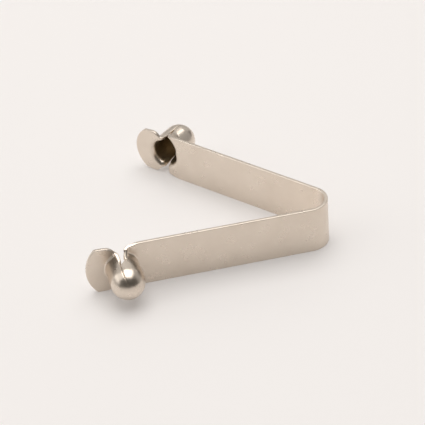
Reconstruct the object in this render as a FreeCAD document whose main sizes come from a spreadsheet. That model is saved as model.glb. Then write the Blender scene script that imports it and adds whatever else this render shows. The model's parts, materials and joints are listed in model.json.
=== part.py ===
import FreeCAD, Part
import math
import os
import Sketcher

# Double-ended spring button clip: one strip of spring steel bent into a V,
# with a hollow bullet-nosed button folded out of the strip near each free end.
#
# Row frame: Z up is across the strip's width, so the clip stands on its strip
# edges at z = 0. The V's axis of symmetry is X, with the bow at +X. The near
# leg lies at -Y and the far leg at +Y, and each button points away from the
# other. The origin is the bottom centre of the clip's box.
#
# The strip is cut into nodes at its forming lines: the flexure line of each
# leg, the fold lines on each side of a button, and the plane across each
# button in which the two folded half shells meet.

App = FreeCAD
V = App.Vector

doc = App.newDocument("button_clip")

# ---------------------------------------------------------------- dimensions
sheet = doc.addObject("Spreadsheet::Sheet", "dims")
rows = [
    ("strip_width", 9.5, "width of the spring strip"),
    ("strip_gauge", 0.7, "thickness of the strip"),
    ("bow_radius", 4.15, "outer radius of the bow"),
    ("vee_half_angle", 24.3, "angle from the V's axis to one leg, degrees"),
    ("leg_reach", 36.4, "from the bow's tangent line to the button's axis"),
    ("flex_reach", 6.0, "from the bow's tangent line to the flexure line"),
    ("button_radius", 3.25, "outer radius of the button"),
    ("nose_centre", 4.8, "from the strip's outer face to the nose sphere's centre"),
    ("root_fillet", 0.4, "fillet between strip and button wall, outside"),
    ("fold_reach", 4.0, "from the button's axis to each fold line"),
    ("slit_half", 1.2, "half width of the slit at the strip's outer face"),
    ("slit_depth", 2.8, "from the strip's outer face to the slit's closed end"),
    ("slit_foot", 2.0, "how far the slit's cutting profile runs below the outer face"),
    ("tab_corner", 5.0, "from the button's axis to the corners of the end tab"),
    ("tab_end_radius", 6.8, "radius of the tab's rounded end"),
]
for i, (alias, value, note) in enumerate(rows, start=1):
    sheet.set("A%d" % i, note)
    sheet.set("B%d" % i, "%s" % value)
    sheet.setAlias("B%d" % i, alias)
doc.recompute()


def val(alias):
    return float(sheet.get(alias))


W = val("strip_width")
T = val("strip_gauge")
R = val("bow_radius")
A = math.radians(val("vee_half_angle"))
L = val("leg_reach")
FLEX = val("flex_reach")
RB = val("button_radius")
H = val("nose_centre")
F = val("root_fillet")
FOLD = val("fold_reach")
SH = val("slit_half")
SD = val("slit_depth")
SF = val("slit_foot")
TC = val("tab_corner")
TR = val("tab_end_radius")

TAB_TIP = TC + TR - math.sqrt(TR * TR - W * W / 4.0)

# The bow's centre is placed so that the clip's box is centred on X = 0.
x_low = -(L + TAB_TIP) * math.cos(A) + (R - T) * math.sin(A)
BOW_X = -(R + x_low) / 2.0


def origin_plane(body, role):
    return [f for f in body.Origin.OriginFeatures if f.Role == role][0]


def new_body(label):
    body = doc.addObject("PartDesign::Body", label)
    body.Label = label
    return body


def new_sketch(body, name, role):
    sk = body.newObject("Sketcher::SketchObject", name)
    sk.AttachmentSupport = [(origin_plane(body, role), "")]
    sk.MapMode = "FlatFace"
    return sk


C = Sketcher.Constraint


def bind(sk, name, expression):
    sk.setExpression("Constraints." + name, expression)


def dim(sk, kind, args, value, name, expression):
    i = sk.addConstraint(C(kind, *args, value))
    sk.renameConstraint(i, name)
    bind(sk, name, expression)
    return i


# ---------------------------------------------------------------- bow
# The bow is a tangent arc with a straight stub on each side, up to the line
# where each leg starts to flex. Profile in the XY plane, padded by the width.
def make_bow():
    body = new_body("bow")
    sk = new_sketch(body, "bow_profile", "XY_Plane")
    ri = R - T
    half = math.pi / 2.0 - A
    po1 = V(R * math.cos(half), -R * math.sin(half), 0)
    po2 = V(R * math.cos(half), R * math.sin(half), 0)
    pi1 = V(ri * math.cos(half), -ri * math.sin(half), 0)
    pi2 = V(ri * math.cos(half), ri * math.sin(half), 0)
    d1 = V(-math.cos(A), -math.sin(A), 0) * FLEX
    d2 = V(-math.cos(A), math.sin(A), 0) * FLEX
    circle = Part.Circle(V(0, 0, 0), V(0, 0, 1), R)
    inner = Part.Circle(V(0, 0, 0), V(0, 0, 1), ri)
    arc_o = sk.addGeometry(Part.ArcOfCircle(circle, -half, half))
    arc_i = sk.addGeometry(Part.ArcOfCircle(inner, -half, half))
    o1 = sk.addGeometry(Part.LineSegment(po1, po1 + d1))
    o2 = sk.addGeometry(Part.LineSegment(po2, po2 + d2))
    i1 = sk.addGeometry(Part.LineSegment(pi1, pi1 + d1))
    i2 = sk.addGeometry(Part.LineSegment(pi2, pi2 + d2))
    e1 = sk.addGeometry(Part.LineSegment(po1 + d1, pi1 + d1))
    e2 = sk.addGeometry(Part.LineSegment(po2 + d2, pi2 + d2))
    sk.addConstraint([
        C("Coincident", arc_o, 3, -1, 1),
        C("Coincident", arc_i, 3, -1, 1),
        C("Tangent", o1, 1, arc_o, 1),
        C("Tangent", o2, 1, arc_o, 2),
        C("Tangent", i1, 1, arc_i, 1),
        C("Tangent", i2, 1, arc_i, 2),
        C("Coincident", o1, 2, e1, 1),
        C("Coincident", e1, 2, i1, 2),
        C("Coincident", o2, 2, e2, 1),
        C("Coincident", e2, 2, i2, 2),
        C("Perpendicular", e1, o1),
        C("Perpendicular", e2, o2),
        C("Equal", o1, o2),
    ])
    doc.recompute()
    dim(sk, "Radius", (arc_o,), R, "outer_radius", "dims.bow_radius")
    dim(sk, "Radius", (arc_i,), ri, "inner_radius", "dims.bow_radius - dims.strip_gauge")
    dim(sk, "Distance", (o1,), FLEX, "stub", "dims.flex_reach")
    i = sk.addConstraint(C("Angle", o1, A - math.pi))
    sk.renameConstraint(i, "near_slope")
    bind(sk, "near_slope", "(dims.vee_half_angle - 180) * 1 deg")
    i = sk.addConstraint(C("Angle", o2, math.pi - A))
    sk.renameConstraint(i, "far_slope")
    bind(sk, "far_slope", "(180 - dims.vee_half_angle) * 1 deg")
    pad = body.newObject("PartDesign::Pad", "bow_pad")
    pad.Profile = sk
    pad.setExpression("Length", "dims.strip_width")
    body.Tip = pad
    body.Placement = App.Placement(V(BOW_X, 0, 0), App.Rotation())
    return body


# The pieces of one arm share a frame: x runs along the leg towards the free
# end, measured from the button's axis; y is the outward normal of the strip,
# measured from its outer face; z is across the strip, from its middle.
def rectangle(sk, x0, x1, w, names):
    """A rectangle across the strip, from x0 to x1, both on one side of x = 0."""
    pts = [V(x0, -w / 2, 0), V(x1, -w / 2, 0), V(x1, w / 2, 0), V(x0, w / 2, 0)]
    g = [sk.addGeometry(Part.LineSegment(pts[k], pts[(k + 1) % 4])) for k in range(4)]
    for k in range(4):
        sk.addConstraint(C("Coincident", g[k], 2, g[(k + 1) % 4], 1))
    sk.addConstraint([
        C("Horizontal", g[0]), C("Horizontal", g[2]),
        C("Vertical", g[1]),
        C("Symmetric", g[0], 1, g[2], 2, -1),
    ])
    for k, x, name, expression in ((g[0], x0, names[0][0], names[0][1]), (g[1], x1, names[1][0], names[1][1])):
        if x < 0:
            dim(sk, "DistanceX", (k, 1, -1, 1), -x, name, expression)
        else:
            dim(sk, "DistanceX", (-1, 1, k, 1), x, name, expression)
    dim(sk, "DistanceY", (g[1], 1, g[1], 2), w, "across", "dims.strip_width")
    return g


def make_leg(label):
    body = new_body(label)
    sk = new_sketch(body, label + "_outline", "XZ_Plane")
    rectangle(sk, -(L - FLEX), -FOLD, W,
              (("to_flexure", "dims.leg_reach - dims.flex_reach"), ("to_fold", "dims.fold_reach")))
    pad = body.newObject("PartDesign::Pad", label + "_pad")
    pad.Profile = sk
    pad.setExpression("Length", "dims.strip_gauge")
    body.Tip = pad
    return body


def make_tab(label):
    body = new_body(label)
    sk = new_sketch(body, label + "_outline", "XZ_Plane")
    cx = TC - math.sqrt(TR * TR - W * W / 4.0)
    ang = math.asin(W / 2.0 / TR)
    a, b, c, d = V(FOLD, -W / 2, 0), V(TC, -W / 2, 0), V(TC, W / 2, 0), V(FOLD, W / 2, 0)
    g0 = sk.addGeometry(Part.LineSegment(a, b))
    g1 = sk.addGeometry(Part.ArcOfCircle(Part.Circle(V(cx, 0, 0), V(0, 0, 1), TR), -ang, ang))
    g2 = sk.addGeometry(Part.LineSegment(c, d))
    g3 = sk.addGeometry(Part.LineSegment(d, a))
    sk.addConstraint([
        C("Coincident", g0, 2, g1, 1), C("Coincident", g1, 2, g2, 1),
        C("Coincident", g2, 2, g3, 1), C("Coincident", g3, 2, g0, 1),
        C("Horizontal", g0), C("Horizontal", g2),
        C("Symmetric", g0, 1, g2, 2, -1),
        C("PointOnObject", g1, 3, -1),
    ])
    dim(sk, "DistanceX", (-1, 1, g0, 1), FOLD, "to_fold", "dims.fold_reach")
    dim(sk, "DistanceX", (-1, 1, g0, 2), TC, "to_corner", "dims.tab_corner")
    dim(sk, "DistanceY", (g0, 2, g2, 1), W, "across", "dims.strip_width")
    dim(sk, "Radius", (g1,), TR, "end_radius", "dims.tab_end_radius")
    pad = body.newObject("PartDesign::Pad", label + "_pad")
    pad.Profile = sk
    pad.setExpression("Length", "dims.strip_gauge")
    body.Tip = pad
    return body


def make_button_half(label, side):
    """One half shell of a button: side -1 is folded up from the leg, +1 from the tab."""
    body = new_body(label)
    rc = RB + F

    # Flat collar of strip around the foot of the wall.
    sk = new_sketch(body, label + "_collar", "XZ_Plane")
    x = side * FOLD
    p = [V(x, -W / 2, 0), V(0, -W / 2, 0), V(0, -rc, 0), V(0, rc, 0), V(0, W / 2, 0), V(x, W / 2, 0)]
    l0 = sk.addGeometry(Part.LineSegment(p[0], p[1]))
    l1 = sk.addGeometry(Part.LineSegment(p[1], p[2]))
    circ = Part.Circle(V(0, 0, 0), V(0, 0, 1), rc)
    if side < 0:
        arc = sk.addGeometry(Part.ArcOfCircle(circ, math.pi / 2, 3 * math.pi / 2))
        lo, hi = 2, 1
    else:
        arc = sk.addGeometry(Part.ArcOfCircle(circ, -math.pi / 2, math.pi / 2))
        lo, hi = 1, 2
    l2 = sk.addGeometry(Part.LineSegment(p[3], p[4]))
    l3 = sk.addGeometry(Part.LineSegment(p[4], p[5]))
    l4 = sk.addGeometry(Part.LineSegment(p[5], p[0]))
    sk.addConstraint([
        C("Coincident", l0, 2, l1, 1), C("Coincident", l1, 2, arc, lo),
        C("Coincident", arc, hi, l2, 1), C("Coincident", l2, 2, l3, 1),
        C("Coincident", l3, 2, l4, 1), C("Coincident", l4, 2, l0, 1),
        C("Coincident", arc, 3, -1, 1),
        C("PointOnObject", l1, 1, -2), C("PointOnObject", l1, 2, -2),
        C("PointOnObject", l2, 1, -2), C("PointOnObject", l2, 2, -2),
        C("Horizontal", l0), C("Horizontal", l3),
        C("Symmetric", l0, 1, l3, 2, -1),
    ])
    dim(sk, "Radius", (arc,), rc, "collar_radius", "dims.button_radius + dims.root_fillet")
    if side < 0:
        dim(sk, "DistanceX", (l0, 1, -1, 1), FOLD, "to_fold", "dims.fold_reach")
    else:
        dim(sk, "DistanceX", (-1, 1, l0, 1), FOLD, "to_fold", "dims.fold_reach")
    dim(sk, "DistanceY", (l0, 1, l3, 2), W, "across", "dims.strip_width")
    pad = body.newObject("PartDesign::Pad", label + "_collar_pad")
    pad.Profile = sk
    pad.setExpression("Length", "dims.strip_gauge")
    doc.recompute()

    # Wall, root bend and half of the nose, turned about the button's axis.
    sk = new_sketch(body, label + "_section", "XY_Plane")
    s = side
    ro, ri = RB, RB - T
    a0 = V(s * rc, 0, 0)
    a1 = V(s * ro, F, 0)
    a2 = V(s * ro, H, 0)
    a3 = V(0, H + ro, 0)
    a4 = V(0, H + ri, 0)
    a5 = V(s * ri, H, 0)
    a6 = V(s * ri, F, 0)
    a7 = V(s * rc, -T, 0)
    cf = V(s * rc, F, 0)
    if s < 0:
        f_out = Part.ArcOfCircle(Part.Circle(cf, V(0, 0, 1), F), -math.pi / 2, 0)
        fo_foot, fo_wall = 1, 2
        n_out = Part.ArcOfCircle(Part.Circle(V(0, H, 0), V(0, 0, 1), ro), math.pi / 2, math.pi)
        no_wall, no_tip = 2, 1
        n_in = Part.ArcOfCircle(Part.Circle(V(0, H, 0), V(0, 0, 1), ri), math.pi / 2, math.pi)
        f_in = Part.ArcOfCircle(Part.Circle(cf, V(0, 0, 1), F + T), -math.pi / 2, 0)
    else:
        f_out = Part.ArcOfCircle(Part.Circle(cf, V(0, 0, 1), F), math.pi, 3 * math.pi / 2)
        fo_foot, fo_wall = 2, 1
        n_out = Part.ArcOfCircle(Part.Circle(V(0, H, 0), V(0, 0, 1), ro), 0, math.pi / 2)
        no_wall, no_tip = 1, 2
        n_in = Part.ArcOfCircle(Part.Circle(V(0, H, 0), V(0, 0, 1), ri), 0, math.pi / 2)
        f_in = Part.ArcOfCircle(Part.Circle(cf, V(0, 0, 1), F + T), math.pi, 3 * math.pi / 2)
    g_fo = sk.addGeometry(f_out)
    g_wo = sk.addGeometry(Part.LineSegment(a1, a2))
    g_no = sk.addGeometry(n_out)
    g_ax = sk.addGeometry(Part.LineSegment(a3, a4))
    g_ni = sk.addGeometry(n_in)
    g_wi = sk.addGeometry(Part.LineSegment(a5, a6))
    g_fi = sk.addGeometry(f_in)
    g_ft = sk.addGeometry(Part.LineSegment(a7, a0))
    sk.addConstraint([
        C("Coincident", g_fo, fo_wall, g_wo, 1),
        C("Coincident", g_wo, 2, g_no, no_wall),
        C("Coincident", g_no, no_tip, g_ax, 1),
        C("Coincident", g_ax, 2, g_ni, no_tip),
        C("Coincident", g_ni, no_wall, g_wi, 1),
        C("Coincident", g_wi, 2, g_fi, fo_wall),
        C("Coincident", g_fi, fo_foot, g_ft, 1),
        C("Coincident", g_ft, 2, g_fo, fo_foot),
        C("Coincident", g_fi, 3, g_fo, 3),
        C("Coincident", g_ni, 3, g_no, 3),
        C("PointOnObject", g_no, 3, -2),
        C("PointOnObject", g_ax, 1, -2),
        C("PointOnObject", g_ax, 2, -2),
        C("PointOnObject", g_ft, 2, -1),
        C("Vertical", g_ft), C("Vertical", g_wo), C("Vertical", g_wi),
        C("Horizontal", g_fo, 3, g_fo, fo_wall),
        C("Vertical", g_fo, 3, g_fo, fo_foot),
        C("Horizontal", g_no, 3, g_no, no_wall),
        C("Horizontal", g_fi, 3, g_fi, fo_wall),
        C("Horizontal", g_ni, 3, g_ni, no_wall),
    ])
    dim(sk, "Radius", (g_no,), ro, "nose_radius", "dims.button_radius")
    dim(sk, "Radius", (g_ni,), ri, "nose_inner_radius", "dims.button_radius - dims.strip_gauge")
    dim(sk, "Radius", (g_fo,), F, "fillet_radius", "dims.root_fillet")
    dim(sk, "DistanceY", (-1, 1, g_no, 3), H, "nose_height", "dims.nose_centre")
    rev = body.newObject("PartDesign::Revolution", label + "_shell")
    rev.Profile = sk
    rev.ReferenceAxis = (sk, ["V_Axis"])
    rev.Angle = 180.0
    rev.Midplane = True
    body.Tip = rev
    doc.recompute()
    if "Invalid" in rev.State or rev.Shape.isNull():
        raise RuntimeError(label + ": the shell was not turned")
    whole = rev.Shape.Volume

    # V slits above and below, wide at the strip and closed towards the nose.
    sk = new_sketch(body, label + "_slit", "XY_Plane")
    foot = SH * (SD + SF) / SD
    t0, t1, t2 = V(0, SD, 0), V(side * foot, -SF, 0), V(0, -SF, 0)
    h0 = sk.addGeometry(Part.LineSegment(t0, t1))
    h1 = sk.addGeometry(Part.LineSegment(t1, t2))
    h2 = sk.addGeometry(Part.LineSegment(t2, t0))
    sk.addConstraint([
        C("Coincident", h0, 2, h1, 1), C("Coincident", h1, 2, h2, 1), C("Coincident", h2, 2, h0, 1),
        C("PointOnObject", h2, 1, -2), C("PointOnObject", h2, 2, -2), C("Horizontal", h1),
    ])
    dim(sk, "DistanceY", (-1, 1, h2, 2), SD, "closed_end", "dims.slit_depth")
    dim(sk, "DistanceY", (h2, 1, -1, 1), SF, "foot", "dims.slit_foot")
    expr = "dims.slit_half * (dims.slit_depth + dims.slit_foot) / dims.slit_depth"
    dim(sk, "Distance", (h1,), foot, "foot_width", expr)
    cut = body.newObject("PartDesign::Pocket", label + "_slit_cut")
    cut.Profile = sk
    cut.Type = "ThroughAll"
    cut.Midplane = True
    body.Tip = cut
    doc.recompute()
    if not cut.Shape.Volume < whole - 0.5:
        raise RuntimeError(label + ": the slits cut nothing")
    return body


parts = [make_bow()]
arm = App.Placement(V(0, 0, 0), App.Rotation(V(0, 0, 1), 180.0 + math.degrees(A)))
reach = App.Placement(V(L, R, 0), App.Rotation())
sides = {
    "near": App.Placement(V(BOW_X, 0, W / 2.0), App.Rotation()),
    "far": App.Placement(V(BOW_X, 0, W / 2.0), App.Rotation(V(1, 0, 0), 180.0)),
}
for name, base in sides.items():
    group = [
        make_leg(name + "_leg"),
        make_button_half(name + "_button_leg_half", -1),
        make_button_half(name + "_button_tab_half", 1),
        make_tab(name + "_tab"),
    ]
    for piece in group:
        piece.Placement = base.multiply(arm).multiply(reach)
    parts += group

doc.recompute()
for obj in doc.Objects:
    if "Invalid" in obj.State or "Error" in obj.State:
        raise RuntimeError("%s failed: %s" % (obj.Name, obj.State))
for piece in parts:
    if piece.Shape.isNull() or not piece.Shape.isValid() or len(piece.Shape.Solids) != 1:
        raise RuntimeError(piece.Label + " has no valid single solid")

os.makedirs("parts", exist_ok=True)
for piece in parts:
    piece.Shape.exportStep(os.path.join("parts", piece.Label + ".step"))

box = App.BoundBox()
for piece in parts:
    box.add(piece.Shape.BoundBox)
    print("%-24s volume %8.3f mm3" % (piece.Label, piece.Shape.Volume))
print("box X %.3f..%.3f  Y %.3f..%.3f  Z %.3f..%.3f" % (box.XMin, box.XMax, box.YMin, box.YMax, box.ZMin, box.ZMax))
print("bow centre x %.4f" % BOW_X)
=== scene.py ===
import json
import math

import bpy
import numpy as np
from mathutils import Matrix, Vector


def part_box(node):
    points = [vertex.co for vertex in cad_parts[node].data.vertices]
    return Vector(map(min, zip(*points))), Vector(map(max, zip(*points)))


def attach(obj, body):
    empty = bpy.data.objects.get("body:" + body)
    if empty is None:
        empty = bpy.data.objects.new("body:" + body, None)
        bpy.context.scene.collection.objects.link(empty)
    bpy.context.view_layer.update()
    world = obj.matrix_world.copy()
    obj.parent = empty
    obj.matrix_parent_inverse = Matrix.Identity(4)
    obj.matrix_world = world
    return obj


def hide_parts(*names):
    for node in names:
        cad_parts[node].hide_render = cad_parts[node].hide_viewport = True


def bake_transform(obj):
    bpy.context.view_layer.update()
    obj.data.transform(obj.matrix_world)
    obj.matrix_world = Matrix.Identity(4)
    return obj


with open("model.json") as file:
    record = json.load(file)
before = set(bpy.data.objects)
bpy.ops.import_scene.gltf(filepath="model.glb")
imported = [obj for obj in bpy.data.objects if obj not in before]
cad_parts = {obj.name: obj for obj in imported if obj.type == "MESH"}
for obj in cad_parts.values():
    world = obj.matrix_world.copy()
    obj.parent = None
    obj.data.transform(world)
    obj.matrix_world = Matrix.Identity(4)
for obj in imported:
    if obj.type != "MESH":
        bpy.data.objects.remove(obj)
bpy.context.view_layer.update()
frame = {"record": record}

rec = frame["record"]
mounts = {m["name"]: m for m in rec["mounts"]}
joints = {j["name"]: j for j in rec["behaviour"]["joints"]}

# ------------------------------------------------------------------ sizes, in metres
MM = 0.001
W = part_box("near_leg")[1][2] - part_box("near_leg")[0][2]      # strip width
T = 0.7 * MM                                                  # strip gauge
RB = mounts["near_button"]["dims"]["r_mm"] * MM               # button radius
NOSE = 4.8 * MM                                               # nose sphere's centre above the outer face
FOLD = 4.0 * MM                                               # button axis to fold line
R = 4.15 * MM                                                 # bow, outer radius
LEG = 36.4 * MM                                               # bow tangent to button axis
FLEX = 6.0 * MM                                               # bow tangent to flexure line
BEND = 3.2 * MM                                               # the leg bends this far each side of that line
ROOT = 0.3 * MM                                               # root fillet at the leg's centre line
TAB_CORNER = 5.0 * MM
TAB_R = 6.8 * MM
EDGE = 0.13 * MM                                              # rounding of the strip's sheared edges
HALF = W / 2.0


class Arm:
    """One side of the V. u runs along the leg from the button's axis to the free end,
    v is outward from the strip's outer face, z is up from the strip's middle."""

    def __init__(self, side):
        self.side = side
        m = mounts[side + "_button"]
        n = np.array(m["axis"], float)
        n /= np.linalg.norm(n)
        sign = -1.0 if side == "near" else 1.0
        self.n = n
        self.d = np.array([-n[1], n[0], 0.0]) * sign
        self.flip = side == "far"
        self.ang = math.asin(n[0])                            # half angle of the V
        pos = np.array(m["pos_m"], float)
        mid = (0.4 * MM + NOSE) / 2.0                         # the mount lies half way up the round wall
        self.base = pos - n * mid                             # on the button's axis, at the outer face
        self.body = side + "_arm"

    def to_row(self, p):
        p = np.asarray(p, float)
        return self.base + p[..., 0:1] * self.d + p[..., 1:2] * self.n + p[..., 2:3] * np.array([0, 0, 1.0])


near, far = Arm("near"), Arm("far")
BOW_C = near.base - near.n * R - near.d * LEG                 # the bow's centre, at mid width


# ------------------------------------------------------------------ mesh helpers
def make_object(name, verts, faces, sharp=()):
    me = bpy.data.meshes.new(name)
    me.from_pydata([tuple(v) for v in verts], [], [tuple(int(i) for i in f) for f in faces])
    me.validate(verbose=False)
    me.update()
    import bmesh
    bm = bmesh.new()
    bm.from_mesh(me)
    bmesh.ops.remove_doubles(bm, verts=bm.verts, dist=2e-7)
    bmesh.ops.dissolve_degenerate(bm, edges=bm.edges, dist=1e-8)
    bmesh.ops.recalc_face_normals(bm, faces=bm.faces)
    for f in bm.faces:
        f.smooth = True
    for e in bm.edges:
        if len(e.link_faces) == 2 and e.calc_face_angle(0.0) > math.radians(42):
            e.smooth = False
    bm.to_mesh(me)
    bm.free()
    me.update()
    ob = bpy.data.objects.new(name, me)
    bpy.context.scene.collection.objects.link(ob)
    return ob


def tube_faces(rows, cols, offset=0):
    """Quads of a tube: rows of closed loops of cols points."""
    f = []
    for i in range(rows - 1):
        a, b = offset + i * cols, offset + (i + 1) * cols
        for j in range(cols):
            k = (j + 1) % cols
            f.append((a + j, a + k, b + k, b + j))
    return f


def cap_faces(start, cols, outer, flip):
    """Closes a strip section: the loop is outer points, an edge, inner points, an edge."""
    # The loop is symmetric: point i of the outer side faces point cols-1-i of the inner side.
    f = []
    half = cols // 2
    for i in range(half - 1):
        a, b = start + i, start + i + 1
        c, d = start + cols - 2 - i, start + cols - 1 - i
        f.append((a, b, c, d) if not flip else (d, c, b, a))
    return f


ARC = [0.0, 0.25, 0.5, 0.75, 1.0]


def section(cols_flat, e):
    """(q, depth) of a strip section, going along the outer face from -q to +q, round the
    +q edge, back along the inner face and round the -q edge."""
    pts = []
    for q in cols_flat:
        pts.append((q, 0.0))
    for t in ARC[1:]:
        a = t * math.pi / 2
        pts.append((HALF - e + e * math.sin(a), e - e * math.cos(a)))
    for t in ARC[:-1]:
        a = t * math.pi / 2
        pts.append((HALF - e + e * math.cos(a), T - e + e * math.sin(a)))
    for q in reversed(cols_flat):
        pts.append((q, T))
    for t in ARC[1:]:
        a = t * math.pi / 2
        pts.append((-(HALF - e + e * math.sin(a)), T - (e - e * math.cos(a))))
    for t in ARC[:-1]:
        a = t * math.pi / 2
        pts.append((-(HALF - e + e * math.cos(a)), e - e * math.sin(a)))
    # start the loop half way round the -q edge, so that it is symmetric about the strip's middle surface
    k = len(ARC) - 1
    return pts[-k:] + pts[:-k]


def band(name, centres, normals):
    """A strip along stations on its outer face at mid width, each with its outward normal."""
    q = HALF - EDGE
    flat = [-q, -q + 0.2 * MM, -q * 0.5, 0.0, q * 0.5, q - 0.2 * MM, q]
    sec = section(flat, EDGE)
    cols = len(sec)
    verts = []
    for c, n in zip(centres, normals):
        for (s, d) in sec:
            verts.append(c - n * d + np.array([0, 0, s]))
    rows = len(centres)
    faces = tube_faces(rows, cols)
    faces += cap_faces(0, cols, None, True)
    faces += cap_faces((rows - 1) * cols, cols, None, False)
    return make_object(name, verts, faces)


# ------------------------------------------------------------------ the folded button half shells
class Shell:
    """Plan and heights of one half: its wall springs from a base curve that hugs the round
    button and turns out to the strip's edge. The edge leans in to the slit's closed end, and
    above that the plan is the round itself. The two buttons were folded a little differently."""

    # seam, slit end, corner at the slit, start of the flap (setback, or an angle in degrees),
    # tangents of the flap, how fast the edge comes down to the round, curl, power,
    # root at the slit, pinch, necking of the strip's edge beside the button
    FORM = {
        ("near", False): (0.90, 3.4, (-1.15, 4.42), 0.40, (0.0, 1.2), (0.10, 1.3), 4.5, 0.50, 1.50, 0.38, 0.09, 0.0),
        ("near", True): (0.90, 3.4, (-1.30, 3.45), 0.10, (0.0, 0.35), (0.02, 0.35), 1.6, 0.15, 1.50, 0.40, 0.00, 0.8),
        ("far", False): (0.15, 3.9, (-0.95, 4.55), -15.0, (-1.10, 4.20), (4.20, 1.0), 2.2, 0.15, 1.50, 0.55, -0.10, 0.0),
        ("far", False, "low"): (0.15, 3.4, (-1.05, 4.42), 0.40, (0.0, 1.2), (0.10, 1.3), 4.5, 0.35, 1.50, 0.40, -0.10, 0.0),
        ("far", True): (0.15, 3.9, (-0.80, 3.45), 0.10, (0.0, 0.35), (0.02, 0.35), 1.6, 0.15, 1.50, 0.40, 0.04, 0.8),
    }

    def __init__(self, side, tab_side, low=False):
        form = self.FORM.get((side, tab_side, "low")) if low else None
        seam, slit, corner, start, m0, m1, fall, curl, power, root, pinch, neck = form or self.FORM[(side, tab_side)]
        off = math.asin(seam * MM / RB)
        self.span = math.pi / 2 + (-off if tab_side else off)
        self.slit = slit * MM                                 # outer face to the slit's closed end
        self.corner = np.array(corner) * MM
        self.start = start
        self.m0, self.m1 = np.array(m0) * MM, np.array(m1) * MM
        self.curl = curl * MM                                 # how far the strip's edge stands out at the slit
        self.reach = 0.15 * MM                                # the curl starts this far in from the fold line
        self.power = power
        self.root_edge = root * MM                            # the root fillet opens out to this at the slit
        self.pinch = pinch                                    # the wall is drawn in at its foot
        self.fall, self.neck = fall, neck
        self.low_v = self.curl + self.root_edge
        self.rows = 90
        self.table = np.array([self.section(k / (self.rows - 1.0)) for k in range(self.rows)])

    def section(self, up):
        """Half the plan of the wall, by length, at a level from the foot (0) to the slit's end (1)."""
        g = 1.0 - up
        end = self.round(self.span)
        edge = end + (self.corner - end) * np.array([g, g ** self.fall])
        if self.start < 0:
            a0 = math.radians(-self.start)
            th = a0 + (self.span - a0) * up
        else:
            th = math.acos(max(-1.0, min(1.0, (-edge[0] + self.start * MM * g) / RB)))
            th = min(th, self.span)
        p0 = self.round(th)
        chord = np.linalg.norm(edge - p0)
        if up == 0.0:
            self.chord0 = chord
        k = chord / self.chord0
        t_here = np.array([math.sin(th), math.cos(th)])
        t_end = np.array([math.sin(self.span), math.cos(self.span)])
        if self.start < 0:
            t0 = self.m0 * g + t_here * np.linalg.norm(self.m0) * up
        else:
            t0 = t_here * np.linalg.norm(self.m0)
        d1 = self.m1 / np.linalg.norm(self.m1) * (1 - up ** 3) + t_end * up ** 3
        t1 = d1 / np.linalg.norm(d1) * np.linalg.norm(self.m1)
        n1 = 140
        a = np.linspace(0, th, n1)
        pts = [np.column_stack([-RB * np.cos(a), RB * np.sin(a)])]
        if k > 1e-6:
            t = np.linspace(0, 1, 90)[1:, None]
            pts.append((2 * t ** 3 - 3 * t ** 2 + 1) * p0 + (t ** 3 - 2 * t ** 2 + t) * t0 * k
                       + (-2 * t ** 3 + 3 * t ** 2) * edge + (t ** 3 - t ** 2) * t1 * k)
        pts = np.vstack(pts)
        ln = np.concatenate([[0], np.cumsum(np.linalg.norm(np.diff(pts, axis=0), axis=1))])
        f = np.linspace(0, 1, 161)
        return np.column_stack([np.interp(f, ln / ln[-1], pts[:, 0]), np.interp(f, ln / ln[-1], pts[:, 1])])

    def plan(self, q, v):
        """Points on the wall's plan, for one place q across the strip and heights v."""
        f = abs(q) / HALF * 160
        f0 = min(int(f), 159)
        w = f - f0
        col = self.table[:, f0] * (1 - w) + self.table[:, f0 + 1] * w
        k = np.clip((np.atleast_1d(v) - self.low_v) / (self.slit - self.low_v), 0, 1) * (self.rows - 1)
        i = np.arange(self.rows)
        sg = 1.0 if q >= 0 else -1.0
        return np.column_stack([np.interp(k, i, col[:, 0]), sg * np.interp(k, i, col[:, 1])])

    def root(self, q):
        s = max(0.0, (abs(q) - 1.2 * MM) / (HALF - 1.2 * MM))
        return ROOT + (self.root_edge - ROOT) * s ** 1.4

    def round(self, th):
        return np.array([-RB * math.cos(th), RB * math.sin(th)])

    def base(self, q):
        return self.plan(q, 0.0)[0]

    def lift(self, q):
        s = max(0.0, (abs(q) - 2.3 * MM) / (HALF - 2.3 * MM))
        return self.curl * s * s

    def squeeze(self, v):
        """Plan factor along u of the wall at height v."""
        s = np.clip(1 - v / (3.2 * MM), 0, 1)
        return 1 - self.pinch * s * s * (3 - 2 * s)


def smooth_line(p, sigma):
    """Evens out a line of points along its length, keeping both ends."""
    seg = np.linalg.norm(np.diff(p, axis=0), axis=1)
    s = np.concatenate([[0], np.cumsum(seg)])
    n = int(s[-1] / (0.02 * MM)) + 2
    t = np.linspace(0, s[-1], n)
    q = np.column_stack([np.interp(t, s, p[:, c]) for c in range(3)])
    step = t[1]
    k = int(3 * sigma / step)
    w = np.exp(-0.5 * (np.arange(-k, k + 1) * step / sigma) ** 2)
    w /= w.sum()
    pad = np.vstack([2 * q[0] - q[k:0:-1], q, 2 * q[-1] - q[-2:-k - 2:-1]])
    return np.column_stack([np.convolve(pad[:, c], w, mode="valid") for c in range(3)])


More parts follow.
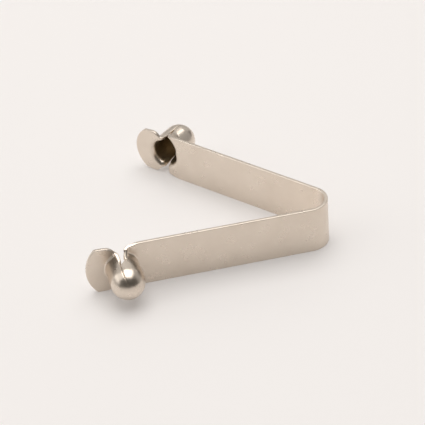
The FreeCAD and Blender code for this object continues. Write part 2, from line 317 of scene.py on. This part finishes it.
def shell_lines(qs, n_up, n_nose, high, low):
    """For each q across the strip, a line of points on the outer face, from the fold line up
    the wall and over the nose, for the half that the leg folds into (u < 0)."""
    grid = np.zeros((n_up + n_nose, len(qs), 3))
    dense = np.array([(high if q >= 0 else low).base(q) for q in np.linspace(-HALF, HALF, 801)])
    for j, q in enumerate(qs):
        sh = high if q >= 0 else low
        th = q / HALF * sh.span
        end = sh.round(th)                                    # on the round wall
        foot = sh.base(q)
        foot_s = foot * np.array([sh.squeeze(ROOT), 1.0])
        start = np.array([-FOLD, q])
        tau = np.linspace(0, 1, 240)
        t = (1 - (1 - tau) ** 1.7)[:, None]
        gap = np.linalg.norm(foot_s - start)
        nk = sh.neck * (abs(q) / HALF) ** 3
        p1 = start + np.array([(0.4 + 0.25 * nk) * gap, 0.0])
        back = (start - foot_s) / gap * (1 - nk) + np.array([-0.45, 0.89 * (1 if q >= 0 else -1)]) * nk
        p2 = foot_s + back * 0.35 * gap
        pl = (1 - t) ** 3 * start + 3 * (1 - t) ** 2 * t * p1 + 3 * (1 - t) * t ** 2 * p2 + t ** 3 * foot_s
        d = np.sqrt(((pl[:, None, :] - (dense * np.array([sh.squeeze(ROOT), 1.0]))[None]) ** 2).sum(2)).min(1)
        d[-1] = 0.0
        rad = sh.root(q)
        dd = np.clip(1 - d / rad, 0, 1)
        rise = rad * (1 - np.sqrt(np.maximum(1 - dd ** 2, 0)))
        along = np.clip((pl[:, 0] + FOLD - sh.reach) / max(foot_s[0] + FOLD - sh.reach, 1e-9), 0, 1)
        c = sh.lift(q)
        v = rise + c * along ** sh.power
        flat_part = np.column_stack([pl[:, 0], v, pl[:, 1]])
        v0 = c + rad
        hv = np.linspace(v0, NOSE, 150)[1:]
        w2 = sh.plan(q, hv)
        wu, wz = w2[:, 0] * sh.squeeze(hv), w2[:, 1]
        up = np.vstack([flat_part, np.column_stack([wu, hv, wz])])
        up = smooth_line(up, 0.075 * MM)
        seg = np.diff(up, axis=0)
        ln = np.linalg.norm(seg, axis=1)
        dirs = seg / np.maximum(ln[:, None], 1e-12)
        turn = np.zeros(len(ln))
        turn[1:] = np.arccos(np.clip((dirs[1:] * dirs[:-1]).sum(1), -1, 1))
        k = np.ones(9) / 9.0
        turn = np.convolve(turn, k, mode="same")
        wt = ln + turn * 0.9 * MM
        s = np.concatenate([[0], np.cumsum(wt)])
        want = np.linspace(0, s[-1], n_up)
        for c3 in range(3):
            grid[:n_up, j, c3] = np.interp(want, s, up[:, c3])
        ph = np.linspace(0, math.pi / 2, n_nose + 1)[1:]
        grid[n_up:, j, 0] = end[0] * np.cos(ph)
        grid[n_up:, j, 1] = NOSE + RB * np.sin(ph)
        grid[n_up:, j, 2] = end[1] * np.cos(ph)
    return grid


def shell_normals(grid, n_up):
    dp = np.gradient(grid, axis=0)
    dq = np.gradient(grid, axis=1)
    n = np.cross(dq, dp)
    ln = np.linalg.norm(n, axis=2, keepdims=True)
    n = n / np.maximum(ln, 1e-15)
    if n[0, n.shape[1] // 2, 1] < 0:
        n = -n
    # exact on the round wall and the nose
    radial = grid.copy()
    radial[..., 1] = 0
    radial /= np.maximum(np.linalg.norm(radial, axis=2, keepdims=True), 1e-12)
    on_wall = np.abs(np.hypot(grid[..., 0], grid[..., 2]) - RB) < 1.5e-6
    n[on_wall] = radial[on_wall]
    ball = grid - np.array([0, NOSE, 0])
    ball /= np.maximum(np.linalg.norm(ball, axis=2, keepdims=True), 1e-12)
    n[n_up - 1:] = ball[n_up - 1:]
    n[0] = np.array([0, 1.0, 0])
    return n


N_UP, N_NOSE = 120, 44
hollow = {}
GROOVE = 0.19 * MM


def button_half(arm, tab_side):
    e_max = GROOVE
    q_in = HALF - e_max
    flat = np.linspace(-q_in, q_in, 75)
    qs = np.concatenate([[-HALF], flat, [HALF]])
    grid = shell_lines(qs, N_UP, N_NOSE, Shell(arm.side, tab_side), Shell(arm.side, tab_side, True))
    nrm = shell_normals(grid, N_UP)
    if tab_side:
        grid[..., 0] *= -1
        nrm[..., 0] *= -1
    rows = grid.shape[0]

    # rounding of the edges at each station: the sheared edge, then the groove between the
    # two halves, which closes over the nose
    ph = np.zeros(rows)
    ph[N_UP:] = np.linspace(0, 90, N_NOSE + 1)[1:]
    e = np.full(rows, EDGE)
    v_edge = grid[:, 0, 1]
    s = np.clip((v_edge - 0.1 * MM) / (0.9 * MM), 0, 1)
    e = EDGE + (GROOVE - EDGE) * s * s * (3 - 2 * s)
    fade = np.clip((ph - 30) / (62 - 30), 0, 1)
    fade = fade * fade * (3 - 2 * fade)
    e = e * (1 - fade)
    e = np.maximum(e, 0.0)

    def at(i, q, depth):
        a = abs(q)
        if a <= q_in + 1e-12:
            k = (q + q_in) / (2 * q_in) * (len(flat) - 1)
            k0 = int(min(max(math.floor(k), 0), len(flat) - 2))
            w = k - k0
            p = grid[i, 1 + k0] * (1 - w) + grid[i, 2 + k0] * w
            m = nrm[i, 1 + k0] * (1 - w) + nrm[i, 2 + k0] * w
        else:
            w = (a - q_in) / e_max
            j0, j1 = (len(qs) - 2, len(qs) - 1) if q > 0 else (1, 0)
            p = grid[i, j0] * (1 - w) + grid[i, j1] * w
            m = nrm[i, j0] * (1 - w) + nrm[i, j1] * w
        m = m / max(np.linalg.norm(m), 1e-12)
        return p - m * depth

    verts, cols = [], None
    for i in range(rows):
        q_e = HALF - e[i]
        fl = list(np.clip(flat, -q_e, q_e))
        fl[0], fl[-1] = -q_e, q_e
        sec = section(fl, e[i])
        cols = len(sec)
        for (q, d) in sec:
            verts.append(at(i, q, d))
    verts = np.array(verts)
    if tab_side:
        k = np.clip((verts[:, 0] - 1.6 * MM) / (FOLD - 1.6 * MM), 0, 1) * np.clip(1 - verts[:, 1] / (1.2 * MM), 0, 1)
        verts[:, 2] *= 1 - (1 - TAB_FORM[arm.side][0] / HALF) * k * k * (3 - 2 * k)
    verts = arm.to_row(verts)
    faces = tube_faces(rows, cols)
    faces += cap_faces(0, cols, None, True)
    name = arm.side + ("_button_tab_half" if tab_side else "_button_leg_half")
    ob = make_object("steel_" + name, verts, faces)
    # inner faces within this radius of the button's axis get the painted shade of the hollow inside
    hollow[ob.name] = (arm, RB - 0.55 * T)
    return ob


TAB_FORM = {"near": (HALF, TAB_R, TAB_CORNER), "far": (4.42 * MM, 5.36 * MM, 4.17 * MM)}


def tab_piece(arm):
    """End tab: straight sides up to its corners, then a round end. The far one is rounded
    straight from the fold line, and is a little narrower there."""
    half, radius, corner = TAB_FORM[arm.side]
    cx = corner - math.sqrt(radius ** 2 - half ** 2)

    def outline(ins):
        h = half - ins
        r = radius - ins
        a = math.asin(h / r)
        pts = [(FOLD, -h)]
        for t in np.linspace(-a, a, 49):
            pts.append((cx + r * math.cos(t), r * math.sin(t)))
        pts.append((FOLD, h))
        return pts

    e = EDGE
    rings = []                                                # (inset, v)
    rings.append((e + 0.25 * MM, 0.0))
    for t in ARC:
        a = t * math.pi / 2
        rings.append((e - e * math.sin(a), -(e - e * math.cos(a))))
    for t in ARC:
        a = t * math.pi / 2
        rings.append((e - e * math.cos(a), -(T - e + e * math.sin(a))))
    rings.append((e + 0.25 * MM, -T))
    verts, n = [], None
    for ins, v in rings:
        o = outline(ins)
        n = len(o)
        verts += [(u, v, z) for (u, z) in o]
    faces = []
    for i in range(len(rings) - 1):
        for j in range(n - 1):
            a, b = i * n + j, i * n + j + 1
            faces.append((a, b, b + n, a + n))
    last = (len(rings) - 1) * n
    # faces of the tab, in strips from side to side
    for base in (0, last):
        for j in range(n // 2 - (0 if n % 2 else 1)):
            a, b = base + j, base + j + 1
            c, d = base + n - 2 - j, base + n - 1 - j
            if b == c:
                faces.append((a, b, d))
            else:
                faces.append((a, b, c, d))
    # closed along the fold line
    k = len(rings)
    left = [i * n for i in range(k)]
    right = [i * n + n - 1 for i in range(k)]
    for i in range(k - 1):
        faces.append((left[i], left[i + 1], right[i + 1], right[i]))
    ob = make_object("steel_" + arm.side + "_tab", arm.to_row(np.array(verts)), faces)
    return ob


# ------------------------------------------------------------------ build
SEAM = 0.6 * MM                                               # where the bow's piece hands over to the leg's

pieces = []

# bow: the bend and the first of each straight
half_turn = math.pi / 2 - near.ang
cent, nor = [], []
for s in np.linspace(SEAM, 0, 2)[:-1]:
    cent.append(BOW_C + near.n * R + near.d * s); nor.append(near.n)
for a in np.linspace(-half_turn, half_turn, 133):
    n = np.array([math.cos(a), math.sin(a), 0.0])
    cent.append(BOW_C + n * R); nor.append(n)
cent.append(BOW_C + far.n * R + far.d * SEAM); nor.append(far.n)
bow = band("steel_bow", cent, nor)
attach(bow, "bow")
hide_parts("bow")
pieces.append(bow)

for arm in (near, far):
    stations = np.concatenate([np.arange(SEAM, 18 * MM, 0.35 * MM), np.arange(18 * MM, LEG - FOLD, 1.2 * MM), [LEG - FOLD]])
    cent = [BOW_C + arm.n * R + arm.d * s for s in stations]
    leg = band("steel_" + arm.side + "_leg", cent, [arm.n] * len(cent))
    a = BOW_C + arm.n * (R - T / 2) + arm.d * (FLEX - BEND)
    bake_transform(leg)
    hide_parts(arm.side + "_leg")
    pieces.append(leg)
    for tab_side in (False, True):
        h = button_half(arm, tab_side)
        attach(h, arm.body)
        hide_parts(arm.side + ("_button_tab_half" if tab_side else "_button_leg_half"))
        pieces.append(h)
    tab = tab_piece(arm)
    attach(tab, arm.body)
    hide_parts(arm.side + "_tab")
    pieces.append(tab)


# ------------------------------------------------------------------ material
def steel(name, low, high, rough_low, rough_high):
    m = bpy.data.materials.new(name)
    m.use_nodes = True
    nt = m.node_tree
    nt.nodes.clear()
    out = nt.nodes.new("ShaderNodeOutputMaterial")
    b = nt.nodes.new("ShaderNodeBsdfPrincipled")
    nt.links.new(b.outputs["BSDF"], out.inputs["Surface"])
    b.inputs["Metallic"].default_value = 1.0
    b.inputs["IOR"].default_value = 2.5
    tc = nt.nodes.new("ShaderNodeTexCoord")

    def noise(scale, detail, rough, stretch=None):
        n = nt.nodes.new("ShaderNodeTexNoise")
        n.inputs["Scale"].default_value = scale
        n.inputs["Detail"].default_value = detail
        n.inputs["Roughness"].default_value = rough
        if stretch:
            mp = nt.nodes.new("ShaderNodeMapping")
            mp.inputs["Scale"].default_value = stretch
            nt.links.new(tc.outputs["Object"], mp.inputs["Vector"])
            nt.links.new(mp.outputs["Vector"], n.inputs["Vector"])
        else:
            nt.links.new(tc.outputs["Object"], n.inputs["Vector"])
        return n.outputs["Fac"]

    def ramp(src, stops):
        r = nt.nodes.new("ShaderNodeValToRGB")
        r.color_ramp.elements[0].position, r.color_ramp.elements[0].color = stops[0][0], (*stops[0][1], 1)
        r.color_ramp.elements[1].position, r.color_ramp.elements[1].color = stops[1][0], (*stops[1][1], 1)
        nt.links.new(src, r.inputs["Fac"])
        return r.outputs["Color"]

    def span(src, lo, hi):
        r = nt.nodes.new("ShaderNodeMapRange")
        r.inputs["From Min"].default_value = 0.3
        r.inputs["From Max"].default_value = 0.7
        r.inputs["To Min"].default_value = lo
        r.inputs["To Max"].default_value = hi
        nt.links.new(src, r.inputs["Value"])
        return r.outputs["Result"]

    cloud = noise(160.0, 4.0, 0.55)
    nt.links.new(ramp(cloud, [(0.30, low), (0.70, high)]), b.inputs["Base Color"])
    nt.links.new(span(noise(420.0, 3.0, 0.5), rough_low, rough_high), b.inputs["Roughness"])
    fine = noise(2600.0, 2.0, 0.5)
    bump = nt.nodes.new("ShaderNodeBump")
    bump.inputs["Strength"].default_value = 0.06
    bump.inputs["Distance"].default_value = 0.00004
    nt.links.new(fine, bump.inputs["Height"])
    nt.links.new(bump.outputs["Normal"], b.inputs["Normal"])
    return m


mat = steel("satin_spring_steel", (0.720, 0.632, 0.540), (0.770, 0.684, 0.592), 0.26, 0.33)
# darker, rougher copy of the steel for the inside of the hollow buttons: the darker colour is painted shade for the
# deep interior, the higher roughness is the surface's own
inside_shade = steel("painted_shade_inside", (0.47, 0.38, 0.26), (0.53, 0.44, 0.31), 0.36, 0.44)
for p in pieces:
    p.data.materials.clear()
    p.data.materials.append(mat)
    if p.name in hollow:
        arm, lim = hollow[p.name]
        p.data.materials.append(inside_shade)
        for poly in p.data.polygons:
            c = np.array(poly.center) - arm.base
            u, v, z = c @ arm.d, c @ arm.n, c[2]
            r = math.hypot(u, z) if v < NOSE else math.sqrt(u * u + (v - NOSE) ** 2 + z * z)
            # inner faces deep in the hollow take the painted-shade material
            if v > 0.25 * MM and r < lim:
                poly.material_index = 1


# ------------------------------------------------------------------ floor, light, camera
def floor():
    me = bpy.data.meshes.new("floor")
    s = 2.0
    me.from_pydata([(-s, -s, 0), (s, -s, 0), (s, s, 0), (-s, s, 0)], [], [(0, 1, 2, 3)])
    ob = bpy.data.objects.new("floor", me)
    bpy.context.scene.collection.objects.link(ob)
    m = bpy.data.materials.new("pale_paper")
    m.use_nodes = True
    b = m.node_tree.nodes["Principled BSDF"]
    b.inputs["Base Color"].default_value = (0.71, 0.685, 0.67, 1)
    b.inputs["Emission Color"].default_value = (1.0, 0.965, 0.945, 1)
    b.inputs["Emission Strength"].default_value = 0.20
    b.inputs["Roughness"].default_value = 0.42
    b.inputs["Specular IOR Level"].default_value = 0.45
    me.materials.append(m)
    return ob


floor()

world = bpy.data.worlds.new("studio")
bpy.context.scene.world = world
world.use_nodes = True
bg = world.node_tree.nodes["Background"]
bg.inputs["Color"].default_value = (0.085, 0.080, 0.072, 1)
bg.inputs["Strength"].default_value = 1.0

AZ = math.radians(13.55)                                      # the camera's bearing, which the lights share
RIGHT = Vector((math.cos(AZ), math.sin(AZ), 0.0))
AWAY = Vector((-math.sin(AZ), math.cos(AZ), 0.0))
SKY = Vector((0.0, 0.0, 1.0))


def panel(name, side, away, height, width, depth, radiance, color=(1, 1, 1)):
    """A soft light seen from the object in direction (side, away, height), facing it."""
    l = bpy.data.lights.new(name, "AREA")
    l.shape = "RECTANGLE"
    l.size, l.size_y = width, depth
    l.energy = radiance * math.pi * width * depth
    l.color = color
    ob = bpy.data.objects.new(name, l)
    bpy.context.scene.collection.objects.link(ob)
    loc = RIGHT * side + AWAY * away + SKY * height
    z = loc.normalized()
    x = (RIGHT - z * RIGHT.dot(z))
    if x.length < 0.3:
        x = AWAY - z * AWAY.dot(z)
    x.normalize()
    y = z.cross(x)
    ob.matrix_world = Matrix(((x[0], y[0], z[0], loc[0]), (x[1], y[1], z[1], loc[1]), (x[2], y[2], z[2], loc[2]), (0, 0, 0, 1)))
    return ob


panel("overhead", 0.035, 0.10, 0.60, 0.63, 0.72, 2.45, (1.0, 0.985, 0.97))
panel("overhead_left", -0.75, 0.05, 0.62, 0.80, 0.90, 1.00, (1.0, 0.985, 0.97))
panel("backdrop", 0.0, 1.30, 0.62, 2.6, 1.0, 0.52, (1.0, 0.985, 0.97))
panel("left_wall", -1.30, -0.05, 0.38, 1.6, 0.6, 0.45, (1.0, 0.98, 0.96))
panel("right_wall", 1.30, 0.30, 0.62, 1.4, 1.1, 0.32, (1.0, 0.985, 0.98))
panel("back_left", -1.30, 1.02, 0.42, 0.80, 0.84, 0.62, (1.0, 0.98, 0.96))

# camera
EL, ROLL, DIST, F_PX = math.radians(36.01), math.radians(-4.22), 0.4285, 2247.0
CX, CY = -2.82, -0.34
back = np.array([math.sin(AZ) * math.cos(EL), -math.cos(AZ) * math.cos(EL), math.sin(EL)])
aim = np.array([BOW_C[0] - 18.7 * MM, 0.0, W / 2])
pos = aim + back * DIST
right = np.cross(-back, [0, 0, 1.0]); right /= np.linalg.norm(right)
up = np.cross(right, -back)
r2 = math.cos(ROLL) * right + math.sin(ROLL) * up
u2 = -math.sin(ROLL) * right + math.cos(ROLL) * up
look = aim - (r2 * CX - u2 * CY) * DIST / F_PX
fwd = look - pos
fwd /= np.linalg.norm(fwd)
r3 = r2 - fwd * (r2 @ fwd); r3 /= np.linalg.norm(r3)
u3 = np.cross(r3, fwd)
cam = bpy.data.cameras.new("camera")
cam.sensor_width = 36.0
cam.lens = F_PX / 425.0 * 36.0
cam.clip_start, cam.clip_end = 0.01, 20
co = bpy.data.objects.new("camera", cam)
bpy.context.scene.collection.objects.link(co)
M = Matrix(((r3[0], u3[0], -fwd[0], pos[0]), (r3[1], u3[1], -fwd[1], pos[1]), (r3[2], u3[2], -fwd[2], pos[2]), (0, 0, 0, 1)))
co.matrix_world = M
bpy.context.scene.camera = co
bpy.context.scene.view_settings.view_transform = "Standard"
